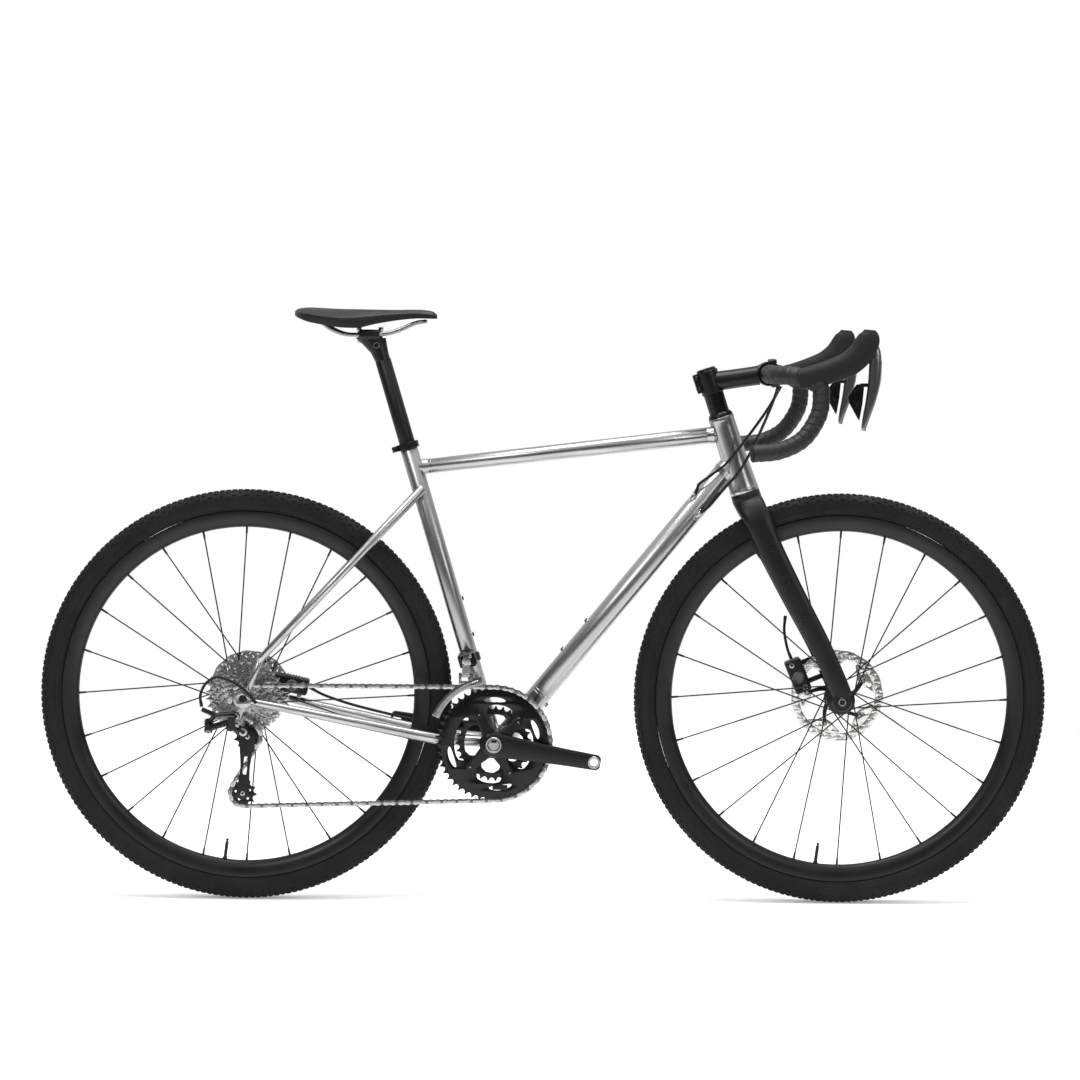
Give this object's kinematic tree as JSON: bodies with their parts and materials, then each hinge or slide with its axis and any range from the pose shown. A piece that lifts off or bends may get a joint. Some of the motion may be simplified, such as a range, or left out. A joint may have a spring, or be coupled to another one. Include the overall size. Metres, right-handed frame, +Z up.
{
  "type": "gravel bike",
  "caption": "Gravel bike with a slim metal frame, curved drop bars, disc brakes, a double chainset with a chain drive and wide treaded tyres.",
  "frame": {"origin": "centre of the bottom bracket shell", "axes": "+X towards the front wheel, +Y to the bike's left, +Z up; the drive side is -Y"},
  "size_m": [1.72, 0.498, 1.0126],
  "materials": {
    "steel": "brushed",
    "bright_steel": "satin",
    "black_alloy": "black anodised",
    "grey_alloy": "satin grey",
    "carbon": "matte black",
    "rubber": "matte",
    "tyre": "matte",
    "bar_tape": "dimpled",
    "saddle_cover": "matte"
  },
  "bodies": {
    "frame": {"frame": "steel", "seat_clamp": "black_alloy", "bb_cup_right": "black_alloy", "bb_cup_left": "black_alloy", "headset_bearing_upper": "bright_steel", "headset_bearing_lower": "bright_steel", "rear_thru_axle": "black_alloy", "rear_caliper": "black_alloy", "front_derailleur_body": "black_alloy", "rear_derailleur_bracket": "black_alloy", "chain": "bright_steel", "rear_derailleur_housing": "rubber", "rear_caliper_hose": "rubber"},
    "steering": {"fork": "carbon", "headset_cover": "black_alloy", "steerer_spacer": "black_alloy", "stem": "black_alloy", "stem_faceplate": "black_alloy", "stem_top_cap": "black_alloy", "handlebar": "black_alloy", "bar_tape_right": "bar_tape", "bar_tape_left": "bar_tape", "bar_plug_right": "rubber", "bar_plug_left": "rubber", "hood_right": "rubber", "hood_left": "rubber", "front_thru_axle": "black_alloy", "front_caliper": "black_alloy", "front_brake_hose": "rubber", "shift_housing": "rubber", "rear_brake_hose": "rubber"},
    "front_wheel": {"front_tyre": "tyre", "front_rim": "black_alloy", "front_hub": "black_alloy", "front_rotor": "bright_steel"},
    "rear_wheel": {"rear_tyre": "tyre", "rear_rim": "black_alloy", "rear_hub": "black_alloy", "rear_rotor": "bright_steel"},
    "cassette": {"cassette": "bright_steel"},
    "crankset": {"crank_arm_right": "black_alloy", "crank_arm_left": "black_alloy", "chainring_outer": "black_alloy", "chainring_inner": "black_alloy"},
    "rear_derailleur_link": {"rear_derailleur_link": "black_alloy"},
    "rear_derailleur_knuckle": {"rear_derailleur_knuckle": "black_alloy"},
    "rear_derailleur_cage": {"rear_derailleur_cage": "black_alloy"},
    "guide_pulley": {"guide_pulley": "black_alloy"},
    "tension_pulley": {"tension_pulley": "black_alloy"},
    "front_derailleur_link": {"front_derailleur_link": "black_alloy"},
    "front_derailleur_cage": {"front_derailleur_cage": "bright_steel"},
    "brake_lever_right": {"brake_lever_right": "grey_alloy"},
    "brake_lever_left": {"brake_lever_left": "grey_alloy"},
    "shift_paddle_right": {"shift_paddle_right": "black_alloy"},
    "shift_paddle_left": {"shift_paddle_left": "black_alloy"},
    "seatpost": {"seatpost": "carbon", "saddle_rails": "bright_steel", "saddle": "saddle_cover"}
  },
  "joints": [
    {"name": "steering_turn", "type": "hinge", "parent": "frame", "child": "steering", "pos_m": [0.3829, 0, 0.5575], "axis": [-0.314, 0, 0.9494], "range_deg": [-65, 65], "deforming": ["shift_housing", "rear_brake_hose"]},
    {"name": "front_wheel_spin", "type": "hinge", "parent": "steering", "child": "front_wheel", "pos_m": [0.59095, 0, 0.0765], "axis": [0, 1, 0], "continuous": true},
    {"name": "rear_wheel_spin", "type": "hinge", "parent": "frame", "child": "rear_wheel", "pos_m": [-0.42497, 0, 0.0765], "axis": [0, 1, 0], "continuous": true},
    {"name": "crankset_spin", "type": "hinge", "parent": "frame", "child": "crankset", "pos_m": [0, 0, 0], "axis": [0, 1, 0], "continuous": true, "deforming": ["chain"]},
    {"name": "cassette_spin", "type": "hinge", "parent": "frame", "child": "cassette", "pos_m": [-0.42497, 0, 0.0765], "axis": [0, 1, 0], "continuous": true},
    {"name": "rear_derailleur_swing", "type": "hinge", "parent": "frame", "child": "rear_derailleur_link", "pos_m": [-0.48297, -0.0733, 0.026], "axis": [0, 0.6, 0.8], "range_deg": [0, 60.6], "stiffness_Nm_per_rad": 1},
    {"name": "rear_derailleur_level", "type": "hinge", "parent": "rear_derailleur_link", "child": "rear_derailleur_knuckle", "pos_m": [-0.44297, -0.092, 0.04], "axis": [0, 0.6, 0.8], "range_deg": [-60.6, 0]},
    {"name": "rear_derailleur_cage_swing", "type": "hinge", "parent": "rear_derailleur_knuckle", "child": "rear_derailleur_cage", "pos_m": [-0.42297, -0.0665, 0.0219], "axis": [0, 1, 0], "range_deg": [-34, 46], "stiffness_Nm_per_rad": 0.5},
    {"name": "guide_pulley_spin", "type": "hinge", "parent": "rear_derailleur_cage", "child": "guide_pulley", "pos_m": [-0.41697, -0.0665, 0.0119], "axis": [0, 1, 0], "continuous": true},
    {"name": "tension_pulley_spin", "type": "hinge", "parent": "rear_derailleur_cage", "child": "tension_pulley", "pos_m": [-0.4251, -0.0665, -0.08476], "axis": [0, 1, 0], "continuous": true},
    {"name": "front_derailleur_swing", "type": "hinge", "parent": "frame", "child": "front_derailleur_link", "pos_m": [-0.048, -0.048, 0.1415], "axis": [1, 0, 0], "range_deg": [0, 14.5], "stiffness_Nm_per_rad": 1},
    {"name": "front_derailleur_level", "type": "hinge", "parent": "front_derailleur_link", "child": "front_derailleur_cage", "pos_m": [-0.048, -0.048, 0.1175], "axis": [1, 0, 0], "range_deg": [-14.5, 0]},
    {"name": "seatpost_slide", "type": "slide", "parent": "frame", "child": "seatpost", "axis": [-0.2857, 0, 0.9583], "range_m": [-0.028, 0.04]},
    {"name": "brake_lever_pull_right", "type": "hinge", "parent": "steering", "child": "brake_lever_right", "pos_m": [0.6072, -0.204, 0.68475], "axis": [0, 1, 0], "range_deg": [0, 14], "stiffness_Nm_per_rad": 1.5},
    {"name": "shift_paddle_sweep_right", "type": "hinge", "parent": "brake_lever_right", "child": "shift_paddle_right", "pos_m": [0.6002, -0.204, 0.63975], "axis": [0, 0, 1], "range_deg": [-20, 0], "stiffness_Nm_per_rad": 0.3},
    {"name": "brake_lever_pull_left", "type": "hinge", "parent": "steering", "child": "brake_lever_left", "pos_m": [0.6072, 0.204, 0.68475], "axis": [0, 1, 0], "range_deg": [0, 14], "stiffness_Nm_per_rad": 1.5},
    {"name": "shift_paddle_sweep_left", "type": "hinge", "parent": "brake_lever_left", "child": "shift_paddle_left", "pos_m": [0.6002, 0.204, 0.63975], "axis": [0, 0, 1], "range_deg": [0, 20], "stiffness_Nm_per_rad": 0.3}
  ],
  "couplings": [
    {"joint": "cassette_spin", "follows": "crankset_spin", "ratio": 4.3636},
    {"joint": "guide_pulley_spin", "follows": "crankset_spin", "ratio": -4.3636},
    {"joint": "tension_pulley_spin", "follows": "crankset_spin", "ratio": 4.3636},
    {"joint": "rear_derailleur_level", "follows": "rear_derailleur_swing", "ratio": -1},
    {"joint": "front_derailleur_level", "follows": "front_derailleur_swing", "ratio": -1}
  ]
}
